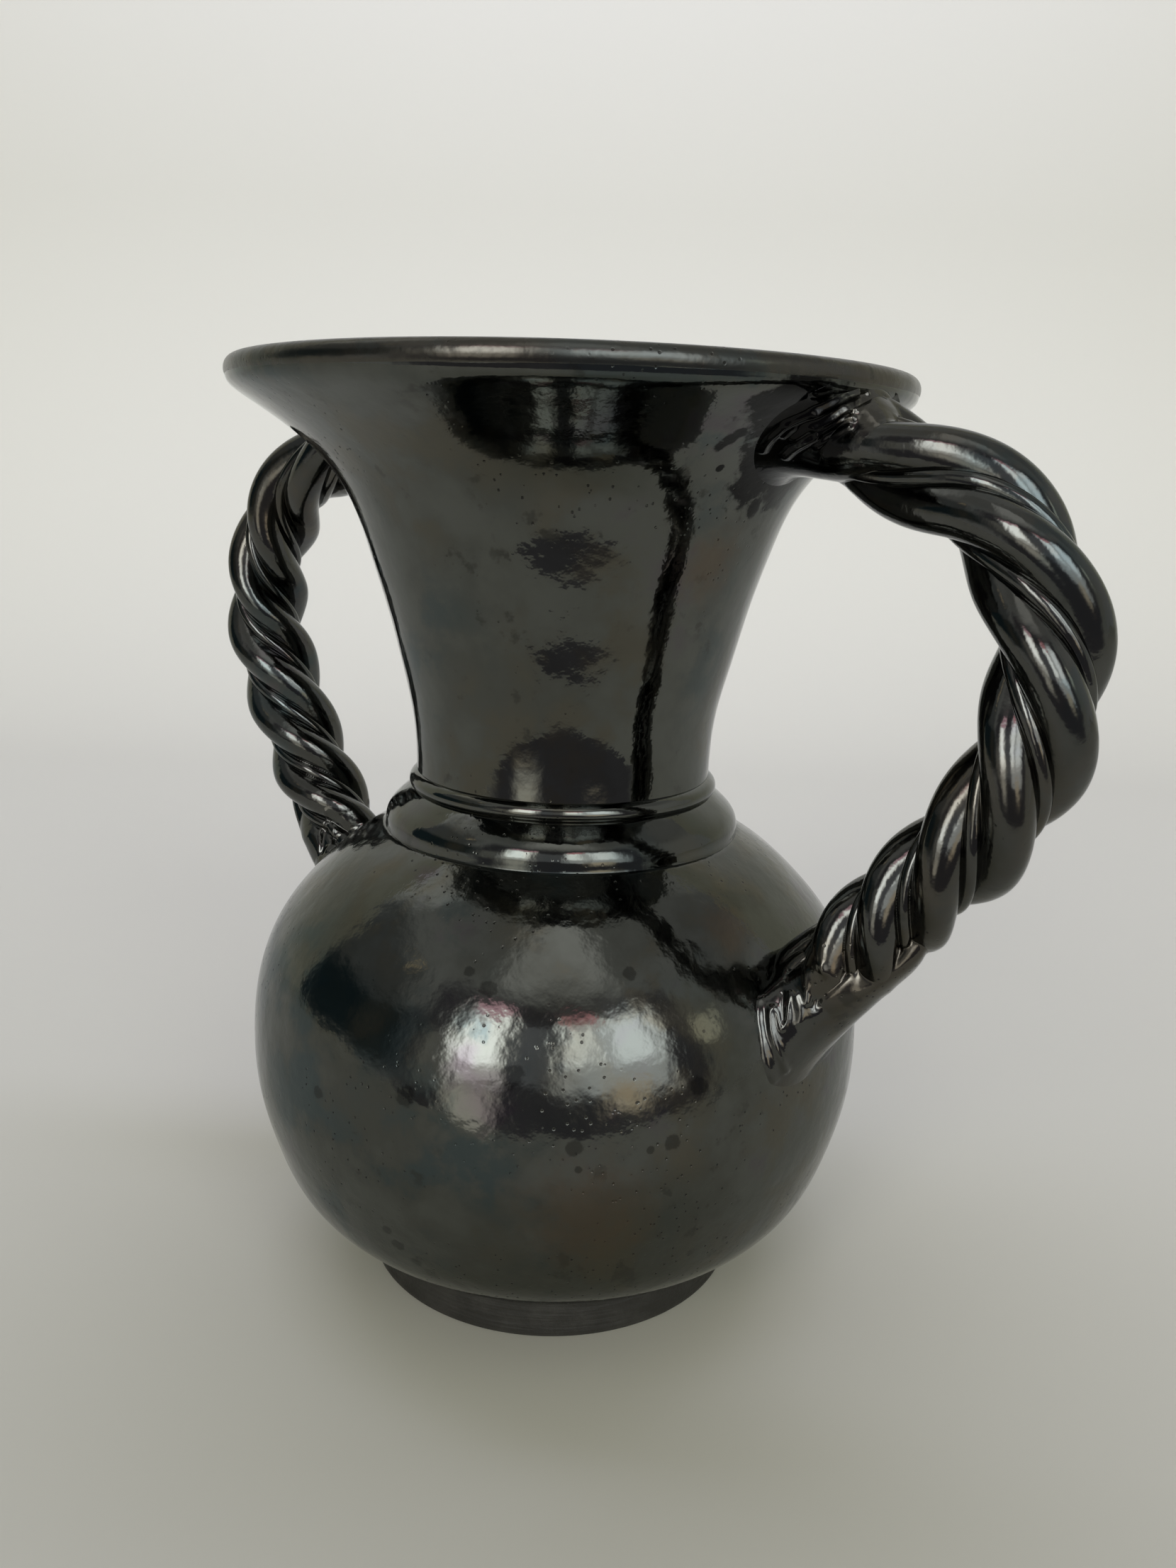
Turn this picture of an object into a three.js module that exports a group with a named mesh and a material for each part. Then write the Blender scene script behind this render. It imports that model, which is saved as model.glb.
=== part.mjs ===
// A glazed stoneware vase with a round body, a trumpet neck and two rope handles, in millimetres, +Z up.
// The origin is the centre of the foot's resting plane, and the handles reach out along +X and -X.
import * as THREE from "three";

// Driving dimensions
const rimRadius = 80; // outside of the lip
const totalHeight = 226;
const lipHeight = 5.8;
const lipWidth = 5.8;
const footRadius = 48.3; // outside of the foot ring where it rests
const footInnerRadius = 38;
const footHeight = 10.2;
const footBevel = 1; // round the resting face
const footTaper = 0.8; // the foot ring is this much narrower where it meets the body
const bodyBaseRadius = 47.2; // flat underside of the body on the foot ring
const bodyFloorHeight = 17.2; // inside, at the middle
const bodyFloorRadius = 41; // where the inside floor starts to curve up
const shoulderHeight = 116.5; // flat top of the thrown body, where the neck is luted on
const shoulderRadius = 44.6;
const throatRadius = 31.8; // the way through from neck to body
const throatUnderside = 111.4; // underside of the wall round the throat
const gap = 0.3; // between pieces that touch
const lutingGap = 0.4; // between a handle's joint and the curved wall behind it
const turnSegments = 36; // facets round a turned piece
const ropeSteps = 36; // stations along a handle
const jointSides = 18;

// Glazed walls, outside and inside, as (radius, height) from the bottom up
const bodyOutside = [
  [49.5, 11.6], [55, 14.6], [59.5, 17.7], [67.7, 26], [73.5, 38.8], [76.9, 51.8],
  [77.6, 64.7], [76.4, 77.6], [71.9, 90.5], [61.9, 103.4], [53.6, 110.8], [45.1, 116.2],
];
const bodyInside = [
  [50, 19.6], [60, 26.5], [66.8, 38.5], [71, 52], [71.6, 64.7], [70.2, 78],
  [64.9, 90], [55.5, 101.3], [44, 108.6],
];
const neckOutside = [
  [36.3, 116.8], [36.7, 131], [37.5, 144], [40.7, 158.4], [44.2, 171.8], [48.1, 184.2], [52.3, 195.3],
  [59.1, 205.1], [69.3, 213.3], [75, 217], [77.4, 218.7], [78.4, 219.8],
];
const neckInside = [
  [31.6, 116.8], [31.9, 131], [32.8, 145], [36, 159.5], [39.5, 173], [43.4, 186.3], [48, 198], [55, 207.4],
  [63.6, 214.4], [69, 217.4], [73.8, 219.8],
];
const wallSpans = { bodyOutside: 15, bodyInside: 9, neckOutside: 15, neckInside: 10 };
const fineSpans = 120; // where a handle's joint is fitted against a wall

// The trim round the foot of the neck: a broad rounded collar and a small bead above its groove
const collarBand = [
  [36.9, 116.8], [43.2, 116.8], [44.1, 117.4], [44.3, 118.6], [43.9, 120.2], [42.8, 122], [41.2, 123.6],
  [39.6, 125], [38.5, 126.2], [36.9, 126.6],
];
const beadBand = [
  [37.15, 126.9], [38.3, 127], [38.6, 127.8], [38.35, 129], [37.7, 130.2], [37.15, 131],
];

// Each handle is bent by hand: its centreline as (reach from the axis, height), the rope's radius along it,
// and how far the rope has turned at even fractions of its length, in degrees. The tails of its joints are
// drawn out at the angles that their shapes give where front is 1, and mirrored where it is -1.
const handleSettings = {
  right: {
    facing: 0,
    front: 1,
    route: [
      [76.4, 210.4], [87, 206], [101.4, 199.9], [116.1, 182.1],
      [117.8, 155.4], [108.4, 134.5], [95.7, 118], [82.6, 101.4],
    ],
    radii: [10.8, 12.1, 12.6, 12.5, 11.7],
    turns: [-151, -47, 76, 214, 363, 558],
  },
  left: {
    facing: Math.PI,
    front: -1,
    route: [
      [76.4, 209.6], [86.5, 204.6], [103.2, 195.8], [114.8, 179],
      [117.8, 156.1], [109.5, 134.3], [97.7, 114.3], [85.6, 97.9],
    ],
    radii: [11, 12.2, 12.7, 12.8, 12.4],
    turns: [-124, -20, 121, 279, 427, 594],
  },
};

// The rope's section: three fat coils and a thin cord in each groove between them
const coilCount = 3;
const grooveTurn = Math.PI / coilCount; // from a coil's middle to the groove beside it
const coilSpread = 0.79; // angle from a coil's middle to where the cord beside it covers it
const coilArcPoints = 6;
const coilRoot = 0.4; // where a coil's flank starts, in parts of the rope's radius
const seamHalf = 0.16; // half of the gap between two coils
const cordSection = [
  [0.46, 0], [0.66, -0.125], [0.735, -0.05], [0.735, 0.05], [0.66, 0.125],
]; // out from the rope's centreline and sideways, in parts of its radius

// The luted joints at the wall, in parts of the rope's radius: away from the vase's axis side, towards it,
// and to both sides, with a tail drawn out at an angle from the outer side
const upperJoint = { outer: 0.88, inner: 1.5, side: 1.4, tail: 0.55, tailAngle: -1.7, tailWidth: 0.6 };
const lowerJoint = { outer: 1.17, inner: 0.98, side: 1.4, tail: 0.35, tailAngle: -1, tailWidth: 0.45 };
const jointTop = 0.97; // radius of the joint where it meets the rope
const jointWaist = 0.35; // how far up the waist is, which sets the hollow of its fillet
const jointWallRings = [0.34, 0.67];
const jointFilletRings = [0.3, 0.65];
const wallSearch = { from: -25, to: 40, halvings: 40 }; // mm along the joint's direction

const blackGlaze = { color: 0x24241f, roughness: 0.12, metalness: 0.6 };
const ropeGlaze = { color: 0x262523, roughness: 0.14, metalness: 0.6 };
const footClay = { color: 0x2b2723, roughness: 0.55, metalness: 0.1 };

const vase = new THREE.Group();
vase.name = "two_handled_vase";

function addPiece(name, geometry, look, parent = vase) {
  const mesh = new THREE.Mesh(geometry, new THREE.MeshStandardMaterial(look));
  mesh.name = name;
  parent.add(mesh);
}

function toVectors(pairs) {
  return pairs.map(([r, z]) => new THREE.Vector2(r, z));
}

function smoothProfile(pairs, spans) {
  return new THREE.SplineCurve(toVectors(pairs)).getSpacedPoints(spans);
}

function reversed(points) {
  return points.slice().reverse();
}

// Turns a profile of (radius, height) about +Z. A profile that goes up on the outside and down on the
// inside faces out, and one that stays off the axis is closed onto its first point.
function turned(profile) {
  const points = profile.map((p) => p.clone());
  if (points[0].x > 0) points.push(points[0].clone());
  const geometry = new THREE.LatheGeometry(points, turnSegments);
  geometry.rotateX(Math.PI / 2);
  return geometry;
}

// Radius of a wall at a height, read off its profile.
function radiusAt(profile, z) {
  for (let i = 1; i < profile.length; i++) {
    const a = profile[i - 1];
    const b = profile[i];
    if (z <= b.y) return a.x + ((b.x - a.x) * (z - a.y)) / (b.y - a.y);
  }
  return profile[profile.length - 1].x;
}

// The thrown pieces
function makeFootRing() {
  const profile = toVectors([
    [footInnerRadius + footBevel, 0], [footRadius - footBevel, 0], [footRadius, footBevel],
    [footRadius - footTaper, footHeight], [footInnerRadius, footHeight], [footInnerRadius, footBevel],
  ]);
  addPiece("foot_ring", turned(profile), footClay);
}

function makeBody() {
  const base = footHeight + gap;
  const profile = [
    ...toVectors([[0, base], [bodyBaseRadius, base]]),
    ...smoothProfile(bodyOutside, wallSpans.bodyOutside),
    ...toVectors([
      [shoulderRadius, shoulderHeight], [throatRadius, shoulderHeight], [throatRadius, throatUnderside],
    ]),
    ...reversed(smoothProfile(bodyInside, wallSpans.bodyInside)),
    ...toVectors([[bodyFloorRadius, bodyFloorHeight], [0, bodyFloorHeight]]),
  ];
  addPiece("round_body", turned(profile), blackGlaze);
}

function makeNeck() {
  const outside = smoothProfile(neckOutside, wallSpans.neckOutside);
  const inside = smoothProfile(neckInside, wallSpans.neckInside);
  addPiece("trumpet_neck", turned([...outside, ...reversed(inside)]), blackGlaze);
}

// The lip is a flat band with well-rounded edges: eight flats whose corners lie on a rounded rectangle.
function makeLip() {
  const middle = rimRadius - lipWidth / 2;
  const height = totalHeight - lipHeight / 2;
  const sides = 8;
  const fullness = 0.75; // 1 gives an ellipse, and less gives a fuller band
  const reach = 1 / Math.cos(Math.PI / sides); // so that the flats reach the full size
  const profile = [];
  for (let i = 0; i < sides; i++) {
    const a = (2 * Math.PI * (i + 0.5)) / sides - Math.PI / 2;
    const out = Math.sign(Math.cos(a)) * Math.abs(Math.cos(a) * reach) ** fullness;
    const up = Math.sign(Math.sin(a)) * Math.abs(Math.sin(a) * reach) ** fullness;
    const r = middle + (lipWidth / 2) * THREE.MathUtils.clamp(out, -1, 1);
    const z = height + (lipHeight / 2) * THREE.MathUtils.clamp(up, -1, 1);
    profile.push(new THREE.Vector2(r, z));
  }
  addPiece("rim_lip", turned(profile), blackGlaze);
}

function makeNeckTrim() {
  addPiece("neck_collar", turned(toVectors(collarBand)), blackGlaze);
  addPiece("neck_bead", turned(toVectors(beadBand)), blackGlaze);
}

// A closed skin over rings of points, all with the same count, with a fan over each end.
function skinOver(rings, startTip, endTip) {
  const sides = rings[0].length;
  const places = [];
  rings.forEach((ring) => ring.forEach((p) => places.push(p.x, p.y, p.z)));
  const start = places.length / 3;
  places.push(startTip.x, startTip.y, startTip.z);
  places.push(endTip.x, endTip.y, endTip.z);
  const faces = [];
  for (let k = 0; k < sides; k++) {
    const next = (k + 1) % sides;
    for (let i = 0; i < rings.length - 1; i++) {
      const a = i * sides;
      const b = a + sides;
      faces.push(a + k, b + k, b + next, a + k, b + next, a + next);
    }
    const last = (rings.length - 1) * sides;
    faces.push(start, k, next);
    faces.push(start + 1, last + next, last + k);
  }
  const geometry = new THREE.BufferGeometry();
  geometry.setAttribute("position", new THREE.Float32BufferAttribute(places, 3));
  geometry.setIndex(faces);
  geometry.computeVertexNormals();
  return geometry;
}

// Value along a short list of evenly spaced numbers, as a smooth cubic through them.
function along(list, t) {
  const at = t * (list.length - 1);
  const i = Math.min(list.length - 2, Math.floor(at));
  const f = at - i;
  const before = list[Math.max(0, i - 1)];
  const after = list[Math.min(list.length - 1, i + 2)];
  const slopeIn = (list[i + 1] - before) / (i > 0 ? 2 : 1);
  const slopeOut = (after - list[i]) / (i < list.length - 2 ? 2 : 1);
  const rise = list[i + 1] - list[i];
  const bend = 3 * rise - 2 * slopeIn - slopeOut;
  const twist = slopeIn + slopeOut - 2 * rise;
  return list[i] + f * (slopeIn + f * (bend + f * twist));
}

// The rope's stations: centre, tangent, outward normal in the handle's plane, radius and turn.
function ropeStations(settings) {
  const points = settings.route.map(([reach, z]) => new THREE.Vector3(reach, 0, z));
  const curve = new THREE.CatmullRomCurve3(points, false, "centripetal");
  const stations = [];
  for (let i = 0; i <= ropeSteps; i++) {
    const t = i / ropeSteps;
    const tangent = curve.getTangentAt(t);
    stations.push({
      centre: curve.getPointAt(t),
      tangent,
      normal: new THREE.Vector3(-tangent.z, 0, tangent.x),
      radius: along(settings.radii, t),
      turn: THREE.MathUtils.degToRad(along(settings.turns, t)),
    });
  }
  return stations;
}

// A point of a station's section, at an angle from the outward normal towards +Y.
function onSection(station, angle, reach) {
  const point = station.centre.clone().addScaledVector(station.normal, Math.cos(angle) * reach);
  point.y += Math.sin(angle) * reach;
  return point;
}

// A fat coil's section: an edge at the rope's heart, flanks that make room for the cords, and a round back.
function coilRing(station, middle) {
  const ring = [];
  const R = station.radius;
  const flank = Math.atan2(seamHalf, coilRoot * R);
  const heart = seamHalf / Math.sin(grooveTurn);
  ring.push(onSection(station, middle, heart));
  ring.push(onSection(station, middle - grooveTurn + flank, coilRoot * R));
  for (let i = 0; i < coilArcPoints; i++) {
    const turn = coilSpread * ((2 * i) / (coilArcPoints - 1) - 1);
    ring.push(onSection(station, middle + turn, R * Math.cos(turn)));
  }
  ring.push(onSection(station, middle + grooveTurn - flank, coilRoot * R));
  return ring;
}

function cordRing(station, groove) {
  return cordSection.map(([out, side]) => {
    const angle = groove + Math.atan2(side, out);
    return onSection(station, angle, station.radius * Math.hypot(out, side));
  });
}

function centreOf(ring) {
  const sum = new THREE.Vector3();
  ring.forEach((p) => sum.add(p));
  return sum.divideScalar(ring.length);
}

function addStrand(name, rings, parent) {
  const geometry = skinOver(rings, centreOf(rings[0]), centreOf(rings[rings.length - 1]));
  addPiece(name, geometry, ropeGlaze, parent);
}

function makeRope(side, stations, parent) {
  for (let n = 0; n < coilCount; n++) {
    const groove = 2 * grooveTurn * n;
    const coil = stations.map((s) => coilRing(s, s.turn + groove + grooveTurn));
    addStrand(`${side}_handle_coil_${n + 1}`, coil, parent);
    const cord = stations.map((s) => cordRing(s, s.turn + groove));
    addStrand(`${side}_handle_cord_${n + 1}`, cord, parent);
  }
}

// Where a line from outside meets a wall, found by halving the stretch that it lies in.
function ontoWall(point, direction, wall) {
  let near = wallSearch.from;
  let far = wallSearch.to;
  for (let i = 0; i < wallSearch.halvings; i++) {
    const middle = (near + far) / 2;
    const p = point.clone().addScaledVector(direction, middle);
    if (Math.hypot(p.x, p.y) > radiusAt(wall, p.z) + lutingGap) near = middle;
    else far = middle;
  }
  return point.clone().addScaledVector(direction, near);
}

// A luted joint: from the rope's end it spreads onto the wall and lies against it.
function makeJoint(name, station, direction, shape, front, wall, parent) {
  const seat = { ...station, centre: station.centre.clone().addScaledVector(direction, gap) };
  const angles = [];
  for (let k = 0; k < jointSides; k++) {
    const a = (2 * Math.PI * k) / jointSides;
    angles.push(a > Math.PI ? a - 2 * Math.PI : a);
  }
  const reachAt = (angle) => {
    const lean = Math.cos(angle);
    const end = lean > 0 ? shape.outer : shape.inner;
    const drawn = Math.exp(-(((angle * front - shape.tailAngle) / shape.tailWidth) ** 2));
    return station.radius * (shape.side + (end - shape.side) * lean * lean + shape.tail * drawn);
  };
  const wallRing = (part) => angles.map((a) => {
    return ontoWall(onSection(seat, a, reachAt(a) * part), direction, wall);
  });
  const edge = wallRing(1);
  const top = angles.map((a) => onSection(seat, a, station.radius * jointTop));
  const waist = top.map((p) => ontoWall(p, direction, wall).lerp(p, jointWaist));
  const filletRing = (part) => angles.map((a, k) => {
    return new THREE.QuadraticBezierCurve3(edge[k], waist[k], top[k]).getPoint(part);
  });
  const rings = [...jointWallRings.map(wallRing), edge, ...jointFilletRings.map(filletRing), top];
  const fromWall = direction.dot(station.tangent) < 0;
  const base = ontoWall(seat.centre, direction, wall);
  addPiece(name, skinOver(fromWall ? rings : rings.map(reversed), base, seat.centre), ropeGlaze, parent);
}

function makeHandle(side) {
  const settings = handleSettings[side];
  const handle = new THREE.Group();
  handle.rotation.z = settings.facing;
  vase.add(handle);
  const stations = ropeStations(settings);
  makeRope(side, stations, handle);
  const first = stations[0];
  const last = stations[ropeSteps];
  const neckWall = smoothProfile(neckOutside, fineSpans);
  const bodyWall = smoothProfile(bodyOutside, fineSpans);
  const backwards = first.tangent.clone().negate();
  const front = settings.front;
  makeJoint(`${side}_handle_upper_joint`, first, backwards, upperJoint, front, neckWall, handle);
  makeJoint(`${side}_handle_lower_joint`, last, last.tangent, lowerJoint, front, bodyWall, handle);
}

makeFootRing();
makeBody();
makeNeck();
makeLip();
makeNeckTrim();
makeHandle("right");
makeHandle("left");

export default vase;
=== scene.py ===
import math

import bpy
import numpy as np
from mathutils import Matrix


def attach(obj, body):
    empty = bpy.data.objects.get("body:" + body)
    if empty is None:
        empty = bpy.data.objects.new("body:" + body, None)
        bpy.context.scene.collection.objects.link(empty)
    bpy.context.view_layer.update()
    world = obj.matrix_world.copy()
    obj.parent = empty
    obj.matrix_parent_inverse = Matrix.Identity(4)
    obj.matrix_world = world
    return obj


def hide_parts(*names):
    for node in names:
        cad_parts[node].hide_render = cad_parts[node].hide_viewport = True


# A black lustre vase with a round body, a trumpet neck and two rope handles. Shapes are written in
# millimetres and turned into metres when a mesh is made. +Z is up, and the handles lie along +X and -X.
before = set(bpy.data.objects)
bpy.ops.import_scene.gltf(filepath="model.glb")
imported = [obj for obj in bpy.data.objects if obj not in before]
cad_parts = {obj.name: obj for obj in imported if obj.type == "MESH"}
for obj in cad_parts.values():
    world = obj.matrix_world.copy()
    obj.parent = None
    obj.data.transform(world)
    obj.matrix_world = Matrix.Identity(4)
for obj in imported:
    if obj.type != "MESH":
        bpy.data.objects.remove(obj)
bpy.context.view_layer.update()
mm = 0.001
print("frame loaded,", len(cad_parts), "nodes")

# Camera
cameraSettings = {
    "azimuth": 39.5,  # degrees from the square view to the view across the handles
    "distance": 0.3136,  # from the vase's axis, level
    "height": 0.2027,
    "aside": 1.181,  # degrees to the right of the axis
    "down": 13.731,
    "roll": 1.871,
    "lens": 29.13,
    "sensor": 36,
    "clipStart": 0.01,
}


# The matrix of something at a place, from the directions of its x, y and z.
def posed(x, y, z, place):
    return Matrix([*np.stack([x, y, z, place], -1).tolist(), [0, 0, 0, 1]])


def makeCamera(settings):
    azimuth, aside, down, roll = (math.radians(settings[k]) for k in ("azimuth", "aside", "down", "roll"))
    heading = azimuth - aside
    right = np.array([math.cos(heading), math.sin(heading), 0])
    level = np.array([-math.sin(heading), math.cos(heading), 0])
    forward = math.cos(down) * level - math.sin(down) * np.array([0, 0, 1])
    up = np.cross(right, forward)
    turnedRight = math.cos(roll) * right + math.sin(roll) * up
    turnedUp = np.cross(turnedRight, forward)
    away = settings["distance"]
    place = [away * math.sin(azimuth), -away * math.cos(azimuth), settings["height"]]
    camera = bpy.data.objects.new("camera", bpy.data.cameras.new("camera"))
    bpy.context.scene.collection.objects.link(camera)
    camera.matrix_world = posed(turnedRight, turnedUp, -forward, place)
    camera.data.lens = settings["lens"]
    camera.data.sensor_width = settings["sensor"]
    camera.data.clip_start = settings["clipStart"]
    bpy.context.scene.camera = camera


makeCamera(cameraSettings)
print("camera placed")


# Shader maths: a Tone wraps a socket, and formulas on Tones add Math nodes.
class Tone:
    def __init__(self, paint, socket):
        self.paint = paint
        self.socket = socket

    def math(self, operation, first, second):
        return self.paint.node("ShaderNodeMath", {"operation": operation}, {0: first, 1: second})

    def __add__(self, other):
        return self.math("ADD", self, other)

    def __sub__(self, other):
        return self.math("SUBTRACT", self, other)

    def __mul__(self, other):
        return self.math("MULTIPLY", self, other)

    def __truediv__(self, other):
        return self.math("DIVIDE", self, other)

    __radd__ = __add__


class Paint:
    def __init__(self, owner):
        owner.use_nodes = True
        self.tree = owner.node_tree
        self.tree.nodes.clear()

    # Any node: its settings are set first, then its sockets, by name or number, with values or links.
    def node(self, kind, settings=None, inputs=None, output=0):
        made = self.tree.nodes.new(kind)
        for key, value in (settings or {}).items():
            setattr(made, key, value)
        for key, value in (inputs or {}).items():
            if isinstance(value, Tone):
                self.tree.links.new(value.socket, made.inputs[key])
            else:
                made.inputs[key].default_value = value
        return Tone(self, made.outputs[output]) if len(made.outputs) else made

    def place(self):
        return self.node("ShaderNodeTexCoord", output="Object")

    def stretched(self, vector, scale, shift=(0, 0, 0)):
        return self.node("ShaderNodeMapping", None, {"Vector": vector, "Location": shift, "Scale": scale})

    def noise(self, vector, size, detail, roughness):
        values = {"Vector": vector, "Scale": 1 / size, "Detail": detail, "Roughness": roughness}
        return self.node("ShaderNodeTexNoise", None, values, "Fac")

    # Distance to the nearest of many scattered points, in parts of their spacing.
    def specks(self, vector, size):
        values = {"Vector": vector, "Scale": 1 / size, "Randomness": 1}
        return self.node("ShaderNodeTexVoronoi", None, values, "Distance")

    # 0 up to start, 1 from full on, smooth between them. Start may lie above full.
    def step(self, value, start, full):
        values = {"Value": value, "From Min": start, "From Max": full, "To Min": 0, "To Max": 1}
        return self.node("ShaderNodeMapRange", {"interpolation_type": "SMOOTHSTEP"}, values)

    def mixed(self, share, first, second):
        values = {0: share, 6: first, 7: second}
        return self.node("ShaderNodeMix", {"data_type": "RGBA"}, values, 2)

    # Distance from a place on the object, in metres.
    def awayFrom(self, vector, place):
        values = {0: vector, 1: place}
        return self.node("ShaderNodeVectorMath", {"operation": "DISTANCE"}, values, "Value")

    def parts(self, vector):
        return [self.node("ShaderNodeSeparateXYZ", None, {0: vector}, k) for k in range(3)]


def rgb(red, green, blue):
    return (red, green, blue, 1)


# Glaze: sizes and heights in metres. A noise is its size, detail and roughness. A cover is the range of a
# noise over which a tint or a pit comes in, and a depth is how strong it gets.
glazeSettings = {
    "steel": rgb(0.105, 0.110, 0.101),  # the lustre's colour where it is thick
    "smoke": rgb(0.073, 0.075, 0.066),
    "smokeCover": (0.43, 0.57),
    "smokeDepth": 0.8,
    "bronze": rgb(0.104, 0.096, 0.074),
    "bronzeCover": ((0.46, 0.60), (0.48, 0.60)),
    "bronzeDepth": 0.8,
    "teal": rgb(0.058, 0.078, 0.082),
    "tealCover": ((0.46, 0.58), (0.52, 0.40)),
    "tealDepth": 0.85,
    "violet": rgb(0.094, 0.078, 0.094),
    "violetCover": ((0.52, 0.42), (0.46, 0.36)),
    "violetDepth": 0.7,
    "cloudNoise": (0.045, 4, 0.6),
    "patchNoise": (0.018, 5, 0.62),
    "cloudShare": 0.55,  # of the clouds in the smoke; the rest are patches
    "tintNoise": (0.045, 2, 0.5),
    "tintStretch": (1, 1, 0.7),
    "tintShift": (0.3, 0.1, 0.2),
    "pittedNoise": (0.036, 3, 0.6),
    "pit": rgb(0.018, 0.017, 0.015),
    "pitSize": 0.0021,
    "pitWidth": (0.19, 0.08),
    "pitCover": (0.52, 0.64),
    "pitColourDepth": 0.8,
    "pitDepth": 0.00008,
    "pitRoughness": 0.2,
    "blot": rgb(0.045, 0.045, 0.040),
    "blotNoise": (0.0075, 4, 0.6),
    "blotWidth": (0.60, 0.68),
    "blotCover": (0.42, 0.56),
    "blotDepth": 0.6,
    "blotRoughness": 0.1,
    "marks": [],  # dark spots, and on the joints painted dark reflection standing for the dark room: place and radius in millimetres
    # Colour of the marks: real dark spots on the body; the joints set it near-black as painted dark
    # reflection
    "spotAndShadeColour": rgb(0.022, 0.022, 0.020),
    "markWidth": (1.1, 0.75),
    "markDepth": 0.6,
    "fringeNoise": (0.0035, 4, 0.65),
    "fringe": 1.7,  # how ragged the edges of marks and stains are
    "stains": [],  # brown patches of thin glaze, likewise
    "rust": rgb(0.112, 0.084, 0.058),
    "stainWidth": (1.3, 0.1),
    "stainDepth": 0.6,
    "rippleNoise": (0.0022, 2, 0.45),
    "ripple": 0.00005,
    "swellNoise": (0.0085, 1, 0.4),
    "swell": 0.00020,
    "grainNoise": (0.0009, 2, 0.5),
    "grain": 0.000006,
    "roughness": 0.10,
    "patchCover": (0.42, 0.66),
    "patchRoughness": 0.06,
    "edge": rgb(0.74, 0.75, 0.75),  # how much of the light a grazing surface gives back
    "coat": 0.15,
    "coatRoughness": 0.035,
}


# The lip is worn: duller, and brown where the glaze is thin
wornLip = {
    "steel": rgb(0.088, 0.084, 0.073),
    "smoke": rgb(0.069, 0.062, 0.052),
    "bronze": rgb(0.108, 0.090, 0.070),
    "roughness": 0.25,
}


def makeGlaze(name, settings, rippleScale=1.0, patchiness=1.0):
    material = bpy.data.materials.new(name)
    paint = Paint(material)
    place = paint.place()
    clouds = paint.noise(place, *settings["cloudNoise"])
    patches = paint.noise(place, *settings["patchNoise"])
    tinting = paint.stretched(place, settings["tintStretch"], settings["tintShift"])
    tints = paint.noise(tinting, *settings["tintNoise"])
    blend = clouds * settings["cloudShare"] + patches * (1 - settings["cloudShare"])
    smoky = paint.step(blend, *settings["smokeCover"])
    colour = paint.mixed(smoky * patchiness * settings["smokeDepth"], settings["steel"], settings["smoke"])
    for tint, field in (("bronze", tints), ("teal", tints), ("violet", clouds)):
        ofPatches, ofField = settings[tint + "Cover"]
        tinted = paint.step(patches, *ofPatches) * paint.step(field, *ofField) * patchiness
        colour = paint.mixed(tinted * settings[tint + "Depth"], colour, settings[tint])
    specks = paint.specks(place, settings["pitSize"])
    pitted = paint.noise(place, *settings["pittedNoise"])
    pits = paint.step(specks, *settings["pitWidth"]) * paint.step(pitted, *settings["pitCover"])
    colour = paint.mixed(pits * settings["pitColourDepth"], colour, settings["pit"])
    blots = paint.step(paint.noise(place, *settings["blotNoise"]), *settings["blotWidth"])
    blots = blots * paint.step(pitted, *settings["blotCover"])
    colour = paint.mixed(blots * settings["blotDepth"], colour, settings["blot"])
    fringe = paint.noise(place, *settings["fringeNoise"]) * settings["fringe"] - settings["fringe"] / 2

    # How much a list of spots covers. A spot ends at start and is whole inside full, in parts of its radius.
    def covered(spots, start, full):
        share = blots * 0
        for *middle, radius in spots:
            away = paint.awayFrom(place, [part * mm for part in middle]) / (radius * mm) + fringe
            spot = paint.step(away, start, full)
            share = paint.node("ShaderNodeMath", {"operation": "MAXIMUM"}, {0: share, 1: spot})
        return share

    stained = covered(settings["stains"], *settings["stainWidth"])
    colour = paint.mixed(stained * settings["stainDepth"], colour, settings["rust"])
    # Marks: real dark spots on the body, and on the joints a painted dark reflection that stands for the dark
    # room
    spottedAndShaded = covered(settings["marks"], *settings["markWidth"])
    colour = paint.mixed(spottedAndShaded * settings["markDepth"], colour, settings["spotAndShadeColour"])
    ripple = paint.noise(place, *settings["rippleNoise"])
    swell = paint.noise(place, *settings["swellNoise"])
    grain = paint.noise(place, *settings["grainNoise"])
    height = ripple * (settings["ripple"] * rippleScale) + swell * (settings["swell"] * rippleScale)
    height = height + grain * settings["grain"] - pits * settings["pitDepth"]
    bump = paint.node("ShaderNodeBump", None, {"Strength": 1.0, "Distance": 1.0, "Height": height})
    dull = paint.step(patches, *settings["patchCover"]) * settings["patchRoughness"]
    rough = settings["roughness"] + dull
    rough = rough + pits * settings["pitRoughness"] + blots * settings["blotRoughness"]
    surface = paint.node("ShaderNodeBsdfPrincipled", None, {
        "Base Color": colour,
        "Metallic": 1.0,
        "Roughness": rough,
        "Specular Tint": settings["edge"],
        "Coat Weight": settings["coat"],
        "Coat Roughness": settings["coatRoughness"],
        "Coat IOR": 1.5,
        "Normal": bump,
    })
    paint.node("ShaderNodeOutputMaterial", None, {"Surface": surface})
    return material


# The foot's dull skin, worn paler in blotches and where it rests
footGlazeSettings = {
    "clay": rgb(0.021, 0.020, 0.016),
    "worn": rgb(0.040, 0.038, 0.032),
    "blotchNoise": (0.012, 5, 0.65),
    "blotchCover": (0.42, 0.64),
    "blotchWear": 0.7,
    "restingHeight": (0.0022, 0.0002),
    "restingWear": 0.6,
    "grainNoise": (0.0012, 3, 0.6),
    "grain": 0.00012,
    "grainRoughness": 0.25,
    "ringNoise": (0.0011, 2, 0.5),  # marks of the turning tool
    "ringStretch": (0.05, 0.05, 1),
    "ring": 0.00018,
    "roughness": 0.42,
    "metallic": 0.25,
}


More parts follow.
